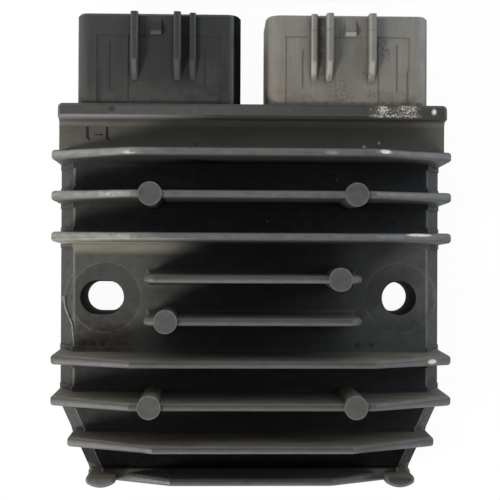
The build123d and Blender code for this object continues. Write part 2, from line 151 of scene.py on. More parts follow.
def colour(name, what, default):
    return FloatVectorProperty(name=name, description=what, default=default, size=3, min=0.0, max=1.0,
                               subtype="COLOR")


def amount(name, what, default, low, high):
    return FloatProperty(name=name, description=what, default=default, min=low, max=high)


class CastingFinish(bpy.types.PropertyGroup):
    """The black paint of the casting and its wear."""
    paint: colour("Paint", "The black paint where it is clean", (0.030, 0.030, 0.031))
    # The worn tone also gives the painted highlights on the noses, the pin rims, the web edge and the boss
    # edge
    worn: colour("Worn paint", "The paint on the fin noses and pins, rubbed pale", (0.070, 0.071, 0.067))
    wall: colour("Wall paint", "The paint on the connector wall", (0.046, 0.046, 0.043))
    dust: colour("Dust", "Brown road dust on the flanks", (0.125, 0.110, 0.083))
    bare: colour("Bare metal", "Aluminium where the paint is chipped off", (0.62, 0.57, 0.47))
    ring_radius: amount("Ring radius", "Mark that a washer left round each hole, in mm", 9.4, 5.0, 12.0)


class PlasticFinish(bpy.types.PropertyGroup):
    """The two connector shells."""
    black: colour("Black shell", "Moulded plastic of the generator's connector", (0.027, 0.028, 0.028))
    grey: colour("Grey shell", "Moulded plastic of the battery's connector", (0.140, 0.134, 0.120))
    dirt: colour("Dirt", "Dirt that has settled at the foot of the shells", (0.050, 0.040, 0.028))


class StageSettings(bpy.types.PropertyGroup):
    """The camera and the lights."""
    lens: amount("Lens", "Focal length of the camera, in mm", 74.55, 10.0, 300.0)
    sky: amount("Sky", "Strength of the light all round", 0.95, 0.0, 5.0)
    key: amount("Key lamp", "Power of the lamp at the lower left, in watts", 3.2, 0.0, 50.0)
    fill: amount("Fill lamp", "Power of the bluish lamp at the right, in watts", 0.9, 0.0, 50.0)


def tinted(tone, factor):
    """A colour made darker or lighter."""
    return [value * factor for value in tone]


def add_node(tree, kind, sockets=None, **settings):
    """Adds a node to a tree, and links or sets its sockets."""
    node = tree.nodes.new(kind)
    for key, value in settings.items():
        setattr(node, key, value)
    for key, value in (sockets or {}).items():
        if isinstance(value, bpy.types.NodeSocket):
            tree.links.new(value, node.inputs[key])
        else:
            node.inputs[key].default_value = value
    return node


class Finish:
    """A node material whose patterns are laid out in millimetres on the part."""

    def __init__(self, name, roughness, metallic=0.0):
        self.material = bpy.data.materials.new(name)
        self.material.use_nodes = True
        self.tree = self.material.node_tree
        self.shader = self.tree.nodes["Principled BSDF"]
        self.shader.inputs["Roughness"].default_value = roughness
        self.shader.inputs["Metallic"].default_value = metallic
        metres = self.add("ShaderNodeTexCoord").outputs["Object"]
        scaled = self.add("ShaderNodeVectorMath", {"Vector": metres, "Scale": 1 / MM}, operation="SCALE")
        self.place = scaled.outputs["Vector"]
        self.x, self.y, self.z = self.split(self.place)
        self.base = None

    def add(self, kind, sockets=None, **settings):
        return add_node(self.tree, kind, sockets, **settings)

    def split(self, vector):
        return self.add("ShaderNodeSeparateXYZ", {"Vector": vector}).outputs

    def normal(self):
        return self.split(self.add("ShaderNodeNewGeometry").outputs["Normal"])

    def math(self, operation, first, second=0.0, clamp=False):
        sockets = {0: first, 1: second}
        return self.add("ShaderNodeMath", sockets, operation=operation, use_clamp=clamp).outputs[0]

    def times(self, *values):
        result = values[0]
        for value in values[1:]:
            result = self.math("MULTIPLY", result, value)
        return result

    def most(self, *values):
        result = values[0]
        for value in values[1:]:
            result = self.math("MAXIMUM", result, value)
        return result

    def ramp(self, value, low, high, start=0.0, end=1.0):
        """Goes smoothly from start to end while the value goes from low to high."""
        sockets = {"Value": value, "From Min": low, "From Max": high, "To Min": start, "To Max": end}
        return self.add("ShaderNodeMapRange", sockets, interpolation_type="SMOOTHSTEP").outputs["Result"]

    def between(self, value, low, high, soft):
        """1 from low to high, and 0 outside, with soft ends."""
        enters = self.ramp(value, low - soft, low + soft)
        leaves = self.ramp(value, high - soft, high + soft, 1, 0)
        return self.times(enters, leaves)

    def noise(self, size, detail=3.0, stretch=(1, 1, 1), roughness=0.5):
        """Noise whose features are about size millimetres wide."""
        place = self.place
        if stretch != (1, 1, 1):
            place = self.add("ShaderNodeMapping", {"Vector": place, "Scale": stretch}).outputs["Vector"]
        sockets = {"Vector": place, "Scale": 1 / size, "Detail": detail, "Roughness": roughness}
        return self.add("ShaderNodeTexNoise", sockets).outputs["Fac"]

    def mix(self, share, first, second):
        def full(value):
            return value if isinstance(value, bpy.types.NodeSocket) else (*value, 1.0)
        sockets = {0: share, 6: full(first), 7: full(second)}
        return self.add("ShaderNodeMix", sockets, data_type="RGBA").outputs[2]

    def coat(self, tone, *shares):
        """Lays a colour over what is there, by the product of the shares."""
        self.base = self.mix(self.times(*shares), self.base, tone)

    def vector(self, operation, first, second):
        return self.add("ShaderNodeVectorMath", {0: first, 1: second}, operation=operation).outputs["Vector"]

    def away(self, point, stretch=(1, 1, 1)):
        """Distance in millimetres from a place."""
        offset = self.vector("MULTIPLY", self.vector("SUBTRACT", self.place, point), stretch)
        return self.add("ShaderNodeVectorMath", {0: offset}, operation="LENGTH").outputs["Value"]

    def spot(self, point, radius, soft=0.3, stretch=(1, 1, 1)):
        """1 near a place, and 0 away from it."""
        return self.ramp(self.away(point, stretch), radius - soft, radius + soft, 1, 0)

    def finish(self, roughness=None, height=None, depth=0.05, metallic=None):
        """Links the patterns to the shader. The depth of the bump is in millimetres."""
        links = self.tree.links
        links.new(self.base, self.shader.inputs["Base Color"])
        if roughness is not None:
            links.new(roughness, self.shader.inputs["Roughness"])
        if metallic is not None:
            links.new(metallic, self.shader.inputs["Metallic"])
        if height is not None:
            bump = self.add("ShaderNodeBump", {"Height": height, "Distance": depth * MM, "Strength": 1.0})
            links.new(bump.outputs["Normal"], self.shader.inputs["Normal"])
        return self.material


class CastingPaint(Finish):
    """Satin black paint with dust in the roots, rubbed noses, chips and washer marks, and with painted shade
    in the web, gutter and bores and painted highlights on the noses and edges.
    """

    def __init__(self, look):
        super().__init__("casting_paint", 0.5)
        self.look = look
        self.nx, self.ny, self.nz = self.normal()
        self.mottle = self.noise(9.0, 4.0)
        self.grain = self.noise(0.55, 2.0)
        self.streak = self.noise(2.2, 3.0, stretch=(0.16, 1, 1))
        self.side = self.math("ABSOLUTE", self.x)
        corner = self.math("MAXIMUM", self.math("SUBTRACT", CORNER_START, self.y), 0.0)
        half = self.math("SUBTRACT", HALF_WIDTH, self.times(corner, CORNER_SLOPE))
        self.inset = self.math("SUBTRACT", half, self.side)
        row = self.math("SUBTRACT", self.math("FRACT", self.times(self.y, 1 / FIN_PITCH)), 0.5)
        self.offset = self.times(row, FIN_PITCH)
        self.lower = self.ramp(self.y, 3.0, -4.0)
        self.below = self.ramp(self.y, 9.0, 8.0)
        self.middle = self.ramp(self.side, 44.0, 28.0)
        self.left = self.ramp(self.x, -10.0, -26.0)
        self.web = self.times(self.ramp(self.nz, 0.7, 0.95), self.between(self.z, 9.0, 14.4, 0.2))
        self.wall = self.times(self.ramp(self.y, 45.0, 45.6), self.ramp(self.z, 26.6, 27.2))
        cloudy = self.ramp(self.mottle, 0.3, 0.7, 0.0, 0.45)
        self.base = self.mix(cloudy, look.paint, tinted(look.paint, 0.55))
        self.coat(look.worn, self.ramp(self.grain, 0.35, 0.75, 0.0, 0.25))

    def shade_web_and_sides(self):
        """Darkens the web, the gutter above the edge fin and the shaded flanks with painted shade, darkens
        the sloping sides more towards the bottom, and lays a little dust on the web.
        """
        in_pocket = self.between(self.y, -17.0, 17.0, 2.0)
        self.pocket = self.times(self.web, in_pocket, self.ramp(self.side, 20.0, 33.0))
        self.gutter = self.times(self.between(self.y, -45.9, -38.8, 0.3), self.ramp(self.z, 16.0, 14.0))
        away_from_us = self.ramp(self.ny, -0.4, -0.8)
        self.shaded = self.times(away_from_us, self.ramp(self.z, 31.5, 30.0), self.middle)
        sideways = self.ramp(self.math("ABSOLUTE", self.nx), 0.75, 0.85)
        self.lean = self.times(sideways, self.ramp(self.z, 13.1, 12.9))
        # Painted shade: the web outside the pockets, the gutter and the flanks facing away are darkened where
        # shade falls; then a little dust on the web
        self.coat(SOOT_AND_SHADE, self.math("SUBTRACT", self.web, self.pocket), 0.5)
        self.coat(tinted(self.look.dust, 0.5), self.web, self.ramp(self.streak, 0.45, 0.75, 0.0, 0.22))
        self.coat(SOOT_AND_SHADE, self.gutter, 0.95)
        self.coat(SOOT_AND_SHADE, self.shaded, 0.95)
        self.coat(SOOT_AND_SHADE, self.lean, self.ramp(self.y, -15.0, -26.0, 0.3, 0.75))

    def lay_road_dust(self):
        """Lays dust on the flanks that face the connectors, thicker at the sides and lower down."""
        faces_up = self.times(self.ramp(self.ny, 0.3, 0.9), self.below)
        outer = self.times(self.ramp(self.side, 16.0, 40.0), self.ramp(self.y, -34.0, -22.0, 0.35, 0.95))
        cover = self.math("ADD", outer, self.ramp(self.y, -8.0, -30.0, 0.25, 0.75), clamp=True)
        cloudy = self.ramp(self.mottle, 0.2, 0.6, 0.6, 1.0)
        self.dusty = self.times(faces_up, cover, cloudy, self.ramp(self.streak, 0.3, 0.65, 0.55, 1.0))
        self.coat(self.look.dust, self.dusty)

    def mark_hole_pockets(self):
        """Tones the pockets of the two fixing holes and their washer marks, paints a highlight along the edge
        of each boss, and paints shade into the bores.
        """
        open_side = self.ramp(self.x, -5.0, 5.0, 1.0, 0.85)
        patchy = self.ramp(self.noise(3.0), 0.2, 0.7, 0.5, 1.0)
        self.coat(tinted(self.look.wall, 1.3), self.pocket, open_side, patchy)
        corner = self.spot((-41.0, -13.0, WEB), 9.0, 4.0)
        self.coat(BROWN_DIRT, self.pocket, corner, self.ramp(self.noise(1.8), 0.3, 0.65, 0.35, 0.85))
        self.bores = self.times(self.x, 0.0)
        edge = self.look.ring_radius
        for hole, shift, darkness in WASHERS:
            radius = self.away((hole, 0, 0), FLAT)
            washer = self.away((hole + shift, 0, 0), FLAT)
            seat = self.ramp(washer, edge, edge - 0.5)
            self.coat(SOOT_AND_SHADE, self.web, seat, darkness, self.ramp(self.mottle, 0.3, 0.6, 0.5, 1.0))
            broken = self.ramp(self.noise(2.6, 2.0), 0.36, 0.55)
            ring = self.times(self.web, self.between(washer, edge - 0.1, edge + 0.1, 0.12), broken)
            # The ring is a washer mark; the line along the edge of the boss is a painted highlight
            boss_edge_highlight = self.times(self.between(radius, BOSS_RADIUS - 0.2, BOSS_RADIUS + 0.2, 0.1),
                                   self.ramp(self.side, 46.8, 47.6), self.ramp(self.z, 12.4, 12.8))
            self.coat(tinted(self.look.worn, 1.7), self.most(ring, boss_edge_highlight), 0.6)
            # Painted shade inside the bore
            bore_shade = self.times(self.ramp(radius, 9.0, 8.0), self.ramp(self.z, WEB - 0.02, WEB - 0.2),
                              self.ramp(self.z, 0.0, 0.1))
            self.coat(SOOT_AND_SHADE, bore_shade, 0.95)
            self.bores = self.most(self.bores, bore_shade)

    def paint_web_edge_highlight(self):
        """Paints a highlight, in a pale tone of the worn paint, on the line where the web turns down into the
        sloping side.
        """
        line = self.between(self.inset, WEB_EDGE - 0.35, WEB_EDGE + 0.35, 0.12)
        line = self.times(line, self.between(self.z, 12.3, 13.2, 0.1))
        self.coat(tinted(self.look.worn, 1.7), line, self.ramp(self.noise(2.0), 0.3, 0.6, 0.35, 0.9))

    def rub_and_light_noses(self):
        """Lightens the noses of the fins and the tops of the pins: rubbed paint, with a painted highlight
        graded across each nose as if it were round, brighter at the left ends towards the lamp, and painted
        shade on the lower noses in the middle.
        """
        worn = self.look.worn
        crest = self.math("MINIMUM", self.math("ADD", self.times(self.inset, FIN_SLOPE), FIN_END), FIN_TOP)
        crest = self.math("SUBTRACT", crest, self.ramp(self.y, -42.9, -43.1, 0.0, EDGE_FIN_DROP))
        pin_top = self.ramp(self.z, PIN_TOP - 0.3, PIN_TOP - 0.1)
        at_fin = self.most(self.ramp(self.math("ABSOLUTE", self.offset), 1.9, 1.6), pin_top)
        near_crest = self.ramp(self.math("SUBTRACT", self.z, crest), -1.5, -0.5)
        self.nose = self.times(near_crest, self.ramp(self.nz, 0.0, 0.6), at_fin)
        rub = self.ramp(self.noise(1.3, 4.0, stretch=(0.35, 1, 1)), 0.25, 0.62, 0.6, 1.0)
        # Painted shading across each nose as if it were round: the lower fins lit on their lower edge, the
        # upper fins on their upper edge
        low_side = self.times(self.below, self.ramp(self.offset, 0.55, -0.5, 0.06, 1.0))
        above = self.math("SUBTRACT", 1.0, self.below)
        high_side = self.times(above, self.ramp(self.offset, -1.1, 0.1, 0.22, 1.0))
        rounded_shading = self.most(low_side, high_side, pin_top)
        # Painted highlight at the left ends, towards the lamp, and painted shade on the lower noses in the
        # middle
        bright = self.times(self.ramp(self.x, -20.0, -34.0), self.ramp(self.y, 5.0, 14.0))
        tone = self.mix(bright, tinted(worn, 1.2), tinted(worn, 2.3))
        tone = self.mix(self.times(self.lower, self.middle), tone, tinted(worn, 0.95))
        tone = self.mix(pin_top, tone, tinted(worn, 0.8))
        self.coat(tone, self.nose, rub, rounded_shading, self.ramp(self.wall, 0.0, 1.0, 1.0, 0.0))
        # A painted highlight round the rim of each pin top
        for x, y in PINS:
            rim = self.between(self.away((x, y, 0), FLAT), PIN_RADIUS - 0.3, PIN_RADIUS + 0.2, 0.08)
            self.coat(tinted(worn, 1.8), rim, pin_top, self.ramp(self.grain, 0.3, 0.6, 0.3, 1), 0.5)

    def lay_root_dust_and_light(self):
        """Lays pale dust in the root of the third fin, at the left, brightened into a painted pool of the
        lamp's light.
        """
        flank = self.times(self.ramp(self.ny, 0.1, -0.4), self.between(self.y, 13.6, 15.7, 0.2), self.left)
        self.pale = self.times(flank, self.ramp(self.z, 23.0, 15.0, 0.3, 1.0))
        foot = self.times(self.web, self.between(self.y, 12.0, 14.6, 0.9), self.left, 0.5)
        # Pale dust, partly a painted pool of light where the lamp falls into the root
        self.coat(BEIGE_DUST_AND_LIGHT, self.most(self.pale, foot), self.ramp(self.streak, 0.25, 0.7, 0.6, 1.0))

    def shade_lugs(self):
        """Darkens the tops of the two lugs: a dark brown over their inner part, and painted shade, most at
        the right, away from the lamp.
        """
        upward = self.ramp(self.nz, 0.6, 0.9)
        lug = self.times(self.ramp(self.y, -46.0, -46.6), self.ramp(self.side, 30.0, 31.0), upward)
        self.coat(tinted(self.look.dust, 0.3), lug, self.ramp(self.y, -47.8, -49.2, 0.75, 0.0))
        # Painted shade, deeper towards the right, away from the lamp
        self.coat(SOOT_AND_SHADE, lug, self.ramp(self.x, 0.0, 30.0, 0.0, 0.45))

    def tone_connector_wall(self):
        """Tones the recessed face and the wall above it, the wall darker to the right as painted shade, and
        paints shade in the middle and a highlight at the left on the bevel between them.
        """
        recess = self.times(self.between(self.y, 38.3, 46.6, 0.2), self.between(self.z, 20.0, 23.0, 0.4))
        self.coat(RECESS_PAINT, recess, self.ramp(self.mottle, 0.2, 0.7, 0.7, 1.0))
        # Painted shade: the wall darker towards the right, away from the lamp
        shade = self.mix(self.ramp(self.x, -20.0, 32.0), self.look.wall, tinted(self.look.wall, 0.64))
        self.coat(shade, self.wall, 0.9)
        brow = self.times(self.ramp(self.ny, -0.25, -0.6), self.ramp(self.z, 23.0, 24.5),
                          self.ramp(self.y, 45.4, 45.7))
        # Painted shade on the bevel in the middle, and a painted highlight at its left end
        self.coat(SOOT_AND_SHADE, brow, self.ramp(self.x, -30.0, -5.0, 0.0, 0.7))
        self.coat(BROW_HIGHLIGHT, brow, self.ramp(self.x, -8.0, -32.0, 0.0, 0.9))

    def chip_paint(self):
        """Takes the paint off in chips, on a worn patch of the wall and in loose grains."""
        speck = self.noise(0.42, 3.0, roughness=0.65)
        fine = self.noise(0.26, 2.0, stretch=(0.8, 1, 1), roughness=0.7)
        patch = self.times(self.between(self.x, 30.0, 42.4, 1.2), self.between(self.y, 46.8, 50.0, 0.4),
                           self.ramp(self.z, 27.0, 27.6))
        heavy = self.most(self.times(self.between(self.y, 46.8, 47.6, 0.5), 0.8),
                          self.spot((33.2, 48.8, WALL_TOP), 1.4, 1.4),
                          self.spot((39.6, 49.2, WALL_TOP), 1.4, 1.5, (0.6, 1, 1)))
        level = self.math("SUBTRACT", fine, self.ramp(heavy, 0.0, 1.0, 0.14, 0.0))
        self.chipped = self.times(patch, self.ramp(level, 0.42, 0.60, 0.0, 0.85))
        for place, radius, stretch in CHIPS:
            chip = self.times(self.spot(place, radius, 0.35, stretch), self.ramp(speck, 0.30, 0.42))
            self.chipped = self.most(self.chipped, chip)
        cells = self.add("ShaderNodeTexVoronoi", {"Vector": self.place, "Scale": 0.16, "Randomness": 1.0})
        lot = self.split(cells.outputs["Color"])[0]
        grains = self.times(self.ramp(cells.outputs["Distance"], 0.05, 0.02), self.ramp(lot, 0.62, 0.64),
                            self.ramp(self.nz, 0.2, 0.6))
        self.coat(self.look.bare, self.most(self.chipped, self.times(grains, 0.5)), 0.9)

    def streak_and_pit(self):
        """Adds the pale streaks on the noses, mostly painted glints of the lamp and partly rubbed paint, and
        the dark pits.
        """
        streaks = self.spot(LONG_GLINT, 3.0, 1.2, (1, 3.2, 1))
        for place, radius, share in GLINTS_AND_RUBS:
            streaks = self.most(streaks, self.times(self.spot(place, radius, 0.8, (1, 3.6, 1)), share))
        broken = self.ramp(self.noise(0.9, 3.0, stretch=(0.2, 1, 1)), 0.4, 0.6)
        self.coat(GLINT_AND_RUB_TONE, streaks, broken, 0.7)
        self.pitted = self.spot(DEEP_PIT, 0.32, 0.15)
        for place, radius in PITS:
            self.pitted = self.most(self.pitted, self.times(self.spot(place, radius, radius * 0.6), 0.8))
        self.coat(SOOT_AND_SHADE, self.pitted, self.ramp(self.grain, 0.3, 0.6, 0.5, 1.0))

    def machine_back(self):
        """Bares the machined metal of the mounting face."""
        self.machined = self.times(self.ramp(self.z, 0.06, 0.02), self.ramp(self.nz, -0.8, -0.95))
        lathe = self.noise(0.5, 2.0, stretch=(0.05, 1, 1))
        self.coat(self.mix(self.ramp(lathe, 0.3, 0.7), *LATHED_METAL), self.machined, 0.9)

    def make(self):
        self.shade_web_and_sides()
        self.lay_road_dust()
        self.mark_hole_pockets()
        self.paint_web_edge_highlight()
        self.rub_and_light_noses()
        self.lay_root_dust_and_light()
        self.shade_lugs()
        self.tone_connector_wall()
        self.chip_paint()
        self.streak_and_pit()
        self.machine_back()
        rough = self.ramp(self.noise(2.0, 3.0), 0.3, 0.7, 0.46, 0.62)
        rough = self.math("SUBTRACT", rough, self.times(self.nose, 0.14))
        dull = self.most(self.dusty, self.pale, self.shaded, self.web, self.lean)
        rough = self.math("ADD", rough, self.times(dull, 0.3))
        rough = self.math("ADD", rough, self.bores, clamp=True)
        height = self.math("ADD", self.times(self.grain, 0.6), self.noise(1.6, 2.0))
        height = self.math("SUBTRACT", height, self.times(self.most(self.pitted, self.chipped), 1.2))
        # Metallic on the machined face; on the near-black of the bores and the gutter it takes away their
        # reflection, so the painted shade stays dark
        without_gloss = self.most(self.machined, self.bores, self.gutter)
        return self.finish(rough, height, 0.06, self.times(without_gloss, 0.85))


class ShellPlastic(Finish):
    """Moulded plastic with dust, dirt towards the wall and ribs rubbed bright where a plug slides, with
    painted shade beside the ribs, on the nib and along the edges, and painted highlights on the ribs and the
    nib's lip.
    """

    def __init__(self, name, side, tone):
        super().__init__(name, 0.45)
        self.side = side
        # Shaded and lit copies of the tone: the dark one paints shade and the parting line, the light one
        # paints highlights
        self.dark = tinted(tone, 0.25)
        self.light = [tone[0] * 2.6, tone[1] * 2.7, tone[2] * 2.9]
        self.nz = self.normal()[2]
        self.cloud = self.noise(7.0, 4.0)
        self.grain = self.noise(0.4, 2.0)
        lines = self.noise(0.7, 2.0, stretch=(1, 0.06, 1))
        self.out = self.times(self.math("SUBTRACT", self.x, side * SHELL_X), side)
        self.raised = self.ramp(self.z, 26.6, 27.0)
        self.base = self.mix(self.ramp(self.cloud, 0.3, 0.7, 0.0, 0.5), tone, tinted(tone, 0.62))
        speckled = [min(1.0, value) for value in tinted(tone, 1.6)]
        scratched = [min(1.0, value) for value in tinted(tone, 1.5)]
        self.coat(speckled, self.ramp(self.grain, 0.4, 0.8, 0.0, 0.25))
        self.coat(scratched, self.ramp(lines, 0.4, 0.8, 0.0, 0.3))
        browned = self.ramp(self.noise(4.0), 0.3, 0.65, 0.4, 1.0)
        brown = [tone[0] * 0.92, tone[1] * 0.80, tone[2] * 0.62]
        self.coat(brown, self.ramp(self.y, 66.0, 52.0, 0.0, 0.45), browned)

    def shade_ribs(self):
        """Paints shade beside the ribs and a highlight on their left edges, and lightens their ramps where a
        plug rubs, partly as a painted highlight.
        """
        top = self.ramp(self.z, 26.7, 26.55)
        lit_edge = self.times(self.x, 0.0)
        for place, reach in RIB_SHADES:
            near = self.ramp(self.math("ABSOLUTE", self.math("SUBTRACT", self.out, place)), reach, 0.7)
            beside = self.times(near, top, self.ramp(self.y, 54.0, 58.0), self.ramp(self.nz, 0.5, 0.9))
            self.coat(self.dark, beside, self.ramp(self.noise(1.6, 3.0), 0.3, 0.6, 0.35, 0.7))
            left = self.side * (SHELL_X + place) - 0.5
            lit_edge = self.most(lit_edge, self.between(self.x, left - 0.25, left + 0.15, 0.25))
        self.coat(self.light, lit_edge, self.raised, self.ramp(self.nz, 0.3, 0.7), 0.3)
        # The ramps: rubbed by the plug, and also a painted highlight
        self.rubbed = self.times(self.raised, self.between(self.y, 57.8, 60.9, 0.6),
                                 self.ramp(self.nz, 0.6, 0.8), self.ramp(lit_edge, 0, 1, 0.6, 1.0))
        self.coat(self.light, self.rubbed, 0.75)

    def shade_nib(self, darkness):
        """Darkens the latch nib with painted shade, paints a highlight on its lip, and darkens the middle of
        the shell a little.
        """
        across = self.math("ABSOLUTE", self.math("SUBTRACT", self.out, NIB_PLACE))
        nib = self.times(self.ramp(across, 1.6, 1.4), self.raised, self.between(self.y, 66.5, 72.6, 0.2))
        lip = self.times(nib, self.ramp(self.y, 68.9, 68.5))
        self.coat(self.dark, nib, darkness)
        self.coat(self.light, lip, 0.4)
        self.coat(self.dark, self.spot((self.side * SHELL_X, 60.5, SHELL_TOP), 6.0, 4.0), 0.22)

    def soil(self, dirt, share, blotches):
        """Lays dirt at the foot of the shell and in blotches."""
        patchy = self.ramp(self.noise(2.4, 4.0), 0.38, 0.62)
        self.soiled = self.times(self.ramp(self.y, 55.5, 50.3), self.ramp(self.z, 25.8, 26.3), patchy)
        for x, y, radius in blotches:
            blotch = self.times(self.spot((x, y, SHELL_TOP), radius, radius * 0.7),
                                self.ramp(self.noise(0.8, 3.0), 0.42, 0.6))
            self.soiled = self.most(self.soiled, blotch)
        self.coat(dirt, self.soiled, share)

    def make(self):
        # Painted shade on the rounded outer edges of the shell
        outermost = self.ramp(self.math("ABSOLUTE", self.out), 20.0, 20.7)
        rim = self.times(outermost, self.ramp(self.y, 70.0, 60.0, 0.35, 0.8))
        inner_side_shade = None
        if self.side < 0:
            # On the black shell: painted shade deeper towards the right, away from the lamp, and a painted
            # dark band on its inner side, made metallic so it shows no reflection
            self.coat(self.dark, self.ramp(self.out, 6.0, -16.0, 0.0, 0.5))
            inner_side_shade = self.times(self.ramp(self.out, -18.9, -19.3), 0.95)
            rim = self.most(self.times(rim, 0.3), inner_side_shade)
        self.coat(self.dark, rim)
        parting = self.times(self.between(self.y, PARTING_Y - 0.1, PARTING_Y + 0.1, 0.06),
                             self.ramp(self.z, 26.8, 27.2))
        self.coat(self.dark, parting, 0.6)
        rough = self.ramp(self.cloud, 0.3, 0.7, 0.42, 0.55)
        rough = self.math("ADD", rough, self.times(self.most(self.soiled, rim), 0.3))
        rough = self.math("SUBTRACT", rough, self.times(self.rubbed, 0.2))
        height = self.math("SUBTRACT", self.times(self.grain, 0.5), self.times(parting, 0.8))
        return self.finish(rough, height, 0.03, inner_side_shade)


def simple_material(name, first, second, size, roughness, metallic=0.0, stretch=(1, 1, 1), depth=0.02):
    """A finish that varies between two tones."""
    f = Finish(name, roughness, metallic)
    noise = f.noise(size, 4.0, stretch)
    f.base = f.mix(f.ramp(noise, 0.3, 0.7), first, second)
    rough = f.ramp(noise, 0.3, 0.7, roughness - 0.06, roughness + 0.08)
    return f.finish(rough, noise, depth)


def board_material():
    """Green laminate with copper tracks under its mask."""
    f = Finish("board_laminate", 0.4)
    weave = f.noise(0.6, 2.0)
    tracks = f.math("FRACT", f.times(f.y, 0.4))
    lines = f.times(f.between(tracks, 0.3, 0.5, 0.05), f.ramp(f.noise(9.0, 1.0), 0.45, 0.5))
    f.base = f.mix(f.ramp(weave, 0.3, 0.7), (0.020, 0.075, 0.035), (0.030, 0.095, 0.045))
    f.coat((0.05, 0.17, 0.07), lines, 0.8)
    return f.finish(None, lines, 0.03)


def dress(material, *nodes):
    """Gives a finish to CAD nodes."""
    for name in nodes:
        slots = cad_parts[name].data.materials
        slots.clear()
        slots.append(material)


def piece(name, mesh, material):
    """Turns a bmesh in millimetres into a piece of the part."""
    bmesh.ops.scale(mesh, vec=(MM, MM, MM), verts=mesh.verts)
    data = bpy.data.meshes.new(name)
    mesh.to_mesh(data)
    mesh.free()
    data.materials.append(material)
    made = bpy.data.objects.new(name, data)
    bpy.context.scene.collection.objects.link(made)
    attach(made, "root")


def bar(mesh, start, end, width, low, high, bevel):
    """A bevelled bar that lies from one place to another, between two levels."""
    start, end = Vector((*start, 0)), Vector((*end, 0))
    along = end - start
    turn = Matrix.Rotation(math.atan2(along.y, along.x), 4, "Z")
    middle = (start + end) / 2
    move = Matrix.Translation((middle.x, middle.y, (low + high) / 2))
    size = Matrix.Diagonal((along.length + width, width, high - low, 1))
    made = bmesh.ops.create_cube(mesh, size=1, matrix=move @ turn @ size)
    edges = list({edge for vert in made["verts"] for edge in vert.link_edges})
    bmesh.ops.bevel(mesh, geom=edges, offset=bevel, offset_type="OFFSET", segments=1, profile=0.5,
                    affect="EDGES", clamp_overlap=True, material=-1)


class REGULATOR_OT_casting(bpy.types.Operator):
    """Paint the casting and wear it, with painted shade and highlights"""
    bl_idname = "regulator.casting"
    bl_label = "Casting paint"

    def execute(self, context):
        dress(CastingPaint(context.scene.regulator_casting).make(), "heat_sink_casting")
        return {"FINISHED"}


class REGULATOR_OT_shells(bpy.types.Operator):
    """Give the two connector shells their plastic, with painted shade and highlights"""
    bl_idname = "regulator.shells"
    bl_label = "Shell plastic"

    def execute(self, context):
        look = context.scene.regulator_plastic
        for name, side, tone, nib_darkness, share, blotches in (
                ("black", -1, look.black, 0.75, 0.2, BLACK_BLOTCHES),
                ("grey", 1, look.grey, 0.12, 0.6, GREY_BLOTCHES)):
            plastic = ShellPlastic(f"{name}_shell_plastic", side, tone)
            plastic.shade_ribs()
            plastic.shade_nib(nib_darkness)
            plastic.soil(look.dirt, share, blotches)
            dress(plastic.make(), f"{name}_connector_shell")
        return {"FINISHED"}


class REGULATOR_OT_metals(bpy.types.Operator):
    """Give the blades, bars and leads their metal"""
    bl_idname = "regulator.metals"
    bl_label = "Blades and bars"

    def execute(self, context):
        tin = simple_material("tinned_blade", (0.56, 0.55, 0.52), (0.72, 0.71, 0.68), 0.6, 0.32, 1.0,
                              (1, 0.12, 1))
        copper = simple_material("bare_copper", (0.72, 0.36, 0.22), (0.85, 0.50, 0.33), 0.8, 0.35, 1.0,
                                 (0.2, 1, 1))
        dress(tin, "ac_blade_1", "ac_blade_2", "ac_blade_3", "sensing_blade", "negative_blade",
              "positive_blade")
        dress(copper, "ac_bus_bar_1", "ac_bus_bar_2", "ac_bus_bar_3", "negative_bus_bar",
              "positive_bus_bar", "gate_leads", "sense_lead")
        return {"FINISHED"}


class REGULATOR_OT_electronics(bpy.types.Operator):
    """Give the boards, the devices and the potting compound their finishes"""
    bl_idname = "regulator.electronics"
    bl_label = "Electronics and resin"

    def execute(self, context):
        moulded = simple_material("device_moulding", (0.018, 0.018, 0.019), (0.034, 0.034, 0.035), 0.5, 0.55)
        resin = simple_material("potting_resin", (0.012, 0.012, 0.013), (0.030, 0.029, 0.028), 6.0, 0.22,
                                depth=0.25)
        dress(board_material(), "power_board", "control_board")
        dress(moulded, "thyristor_1", "thyristor_2", "thyristor_3", "diode_1", "diode_2", "diode_3",
              "control_chip", "smoothing_capacitor", "resistors")
        dress(resin, "potting_compound")
        return {"FINISHED"}


class REGULATOR_OT_mould_marks(bpy.types.Operator):
    """Add the two hooked tool marks and the dash on the recessed face"""
    bl_idname = "regulator.mould_marks"
    bl_label = "Tool marks"

    def execute(self, context):
        mesh = bmesh.new()
        low, high, width, bevel = RECESS - 0.1, RECESS + 0.12, 0.65, 0.09
        for x in (-43.1, -38.0):
            bar(mesh, (x, 44.4), (x, 42.0), width, low, high, bevel)
            bar(mesh, (x, 42.0), (x + 0.5, 41.5), width * 0.8, low, high - 0.03, bevel)
        bar(mesh, (-41.2, 42.7), (-39.6, 42.7), 0.28, low, high - 0.05, 0.05)
        bar(mesh, (-39.45, 42.65), (-39.35, 42.65), 0.5, low, high, bevel)
        dark = simple_material("mark_paint", (0.003, 0.003, 0.003), (0.008, 0.008, 0.008), 0.5, 0.85)
        piece("mould_marks", mesh, dark)
        return {"FINISHED"}


